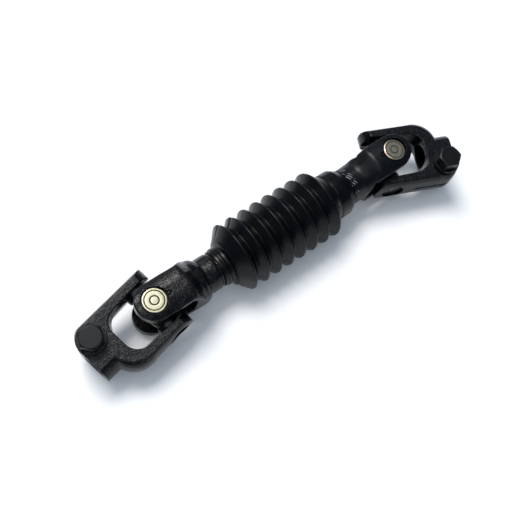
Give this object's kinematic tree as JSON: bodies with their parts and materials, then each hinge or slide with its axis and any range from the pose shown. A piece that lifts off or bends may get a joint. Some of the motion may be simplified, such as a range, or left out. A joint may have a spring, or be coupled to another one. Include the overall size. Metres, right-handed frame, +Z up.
{
  "type": "steering shaft joint",
  "caption": "Telescoping steering shaft with a universal joint and a splined clamp yoke at each end, and a rubber bellows over its sliding splines.",
  "frame": {"origin": "centre of the bounding box, on the plane that the part lies on", "axes": "+X along the sliding shaft from the joint with the long neck to the joint beside the large bellows cuff, +Z up"},
  "size_m": [0.2902, 0.0638, 0.0473],
  "materials": {
    "black_paint": "semi-gloss black enamel, worn on the raised faces",
    "bolt_black": "dull black oxide",
    "bearing_steel": "ground, slightly yellow from preserving oil",
    "rubber_black": "matte, moulded",
    "shaft_steel": "machined, greased",
    "sleeve_nylon": "moulded low-friction coat"
  },
  "bodies": {
    "tube": {"splined_tube": "black_paint", "tube_yoke": "black_paint", "bellows": "rubber_black", "right_cup_upper": "bearing_steel", "right_cup_lower": "bearing_steel", "right_needles_upper": "bearing_steel", "right_needles_lower": "bearing_steel", "right_seal_upper": "rubber_black", "right_seal_lower": "rubber_black"},
    "shaft": {"splined_shaft": "shaft_steel", "spline_sleeve": "sleeve_nylon", "shaft_yoke": "black_paint", "left_cup_upper": "bearing_steel", "left_cup_lower": "bearing_steel", "left_needles_upper": "bearing_steel", "left_needles_lower": "bearing_steel", "left_seal_upper": "rubber_black", "left_seal_lower": "rubber_black"},
    "left_cross": {"left_cross": "bearing_steel"},
    "right_cross": {"right_cross": "bearing_steel"},
    "left_clamp": {"left_clamp_yoke": "black_paint", "left_pinch_bolt": "bolt_black", "left_lock_washer": "bolt_black", "left_cup_lug": "bearing_steel", "left_cup_arm": "bearing_steel", "left_needles_lug": "bearing_steel", "left_needles_arm": "bearing_steel", "left_seal_lug": "rubber_black", "left_seal_arm": "rubber_black"},
    "right_clamp": {"right_clamp_yoke": "black_paint", "right_pinch_bolt": "bolt_black", "right_lock_washer": "bolt_black", "right_cup_lug": "bearing_steel", "right_cup_arm": "bearing_steel", "right_needles_lug": "bearing_steel", "right_needles_arm": "bearing_steel", "right_seal_lug": "rubber_black", "right_seal_arm": "rubber_black"}
  },
  "joints": [
    {"name": "telescope", "type": "slide", "parent": "tube", "child": "shaft", "axis": [1, 0, 0], "range_m": [-0.018, 0.018], "deforming": ["bellows"]},
    {"name": "left_swing", "type": "hinge", "parent": "shaft", "child": "left_cross", "pos_m": [-0.09461, 0.00586, 0.02365], "axis": [0, -0.2471, 0.969], "range_deg": [-42.4, 17.6]},
    {"name": "left_tilt", "type": "hinge", "parent": "left_cross", "child": "left_clamp", "pos_m": [-0.09461, 0.00586, 0.02365], "axis": [0.2147, -0.9464, -0.2413], "range_deg": [-33.3, 26.7]},
    {"name": "right_swing", "type": "hinge", "parent": "tube", "child": "right_cross", "pos_m": [0.09739, 0.00586, 0.02365], "axis": [0, -0.2471, 0.969], "range_deg": [-6.5, 53.5]},
    {"name": "right_tilt", "type": "hinge", "parent": "right_cross", "child": "right_clamp", "pos_m": [0.09739, 0.00586, 0.02365], "axis": [0.3987, 0.8886, 0.2266], "range_deg": [-25.5, 34.5]}
  ]
}
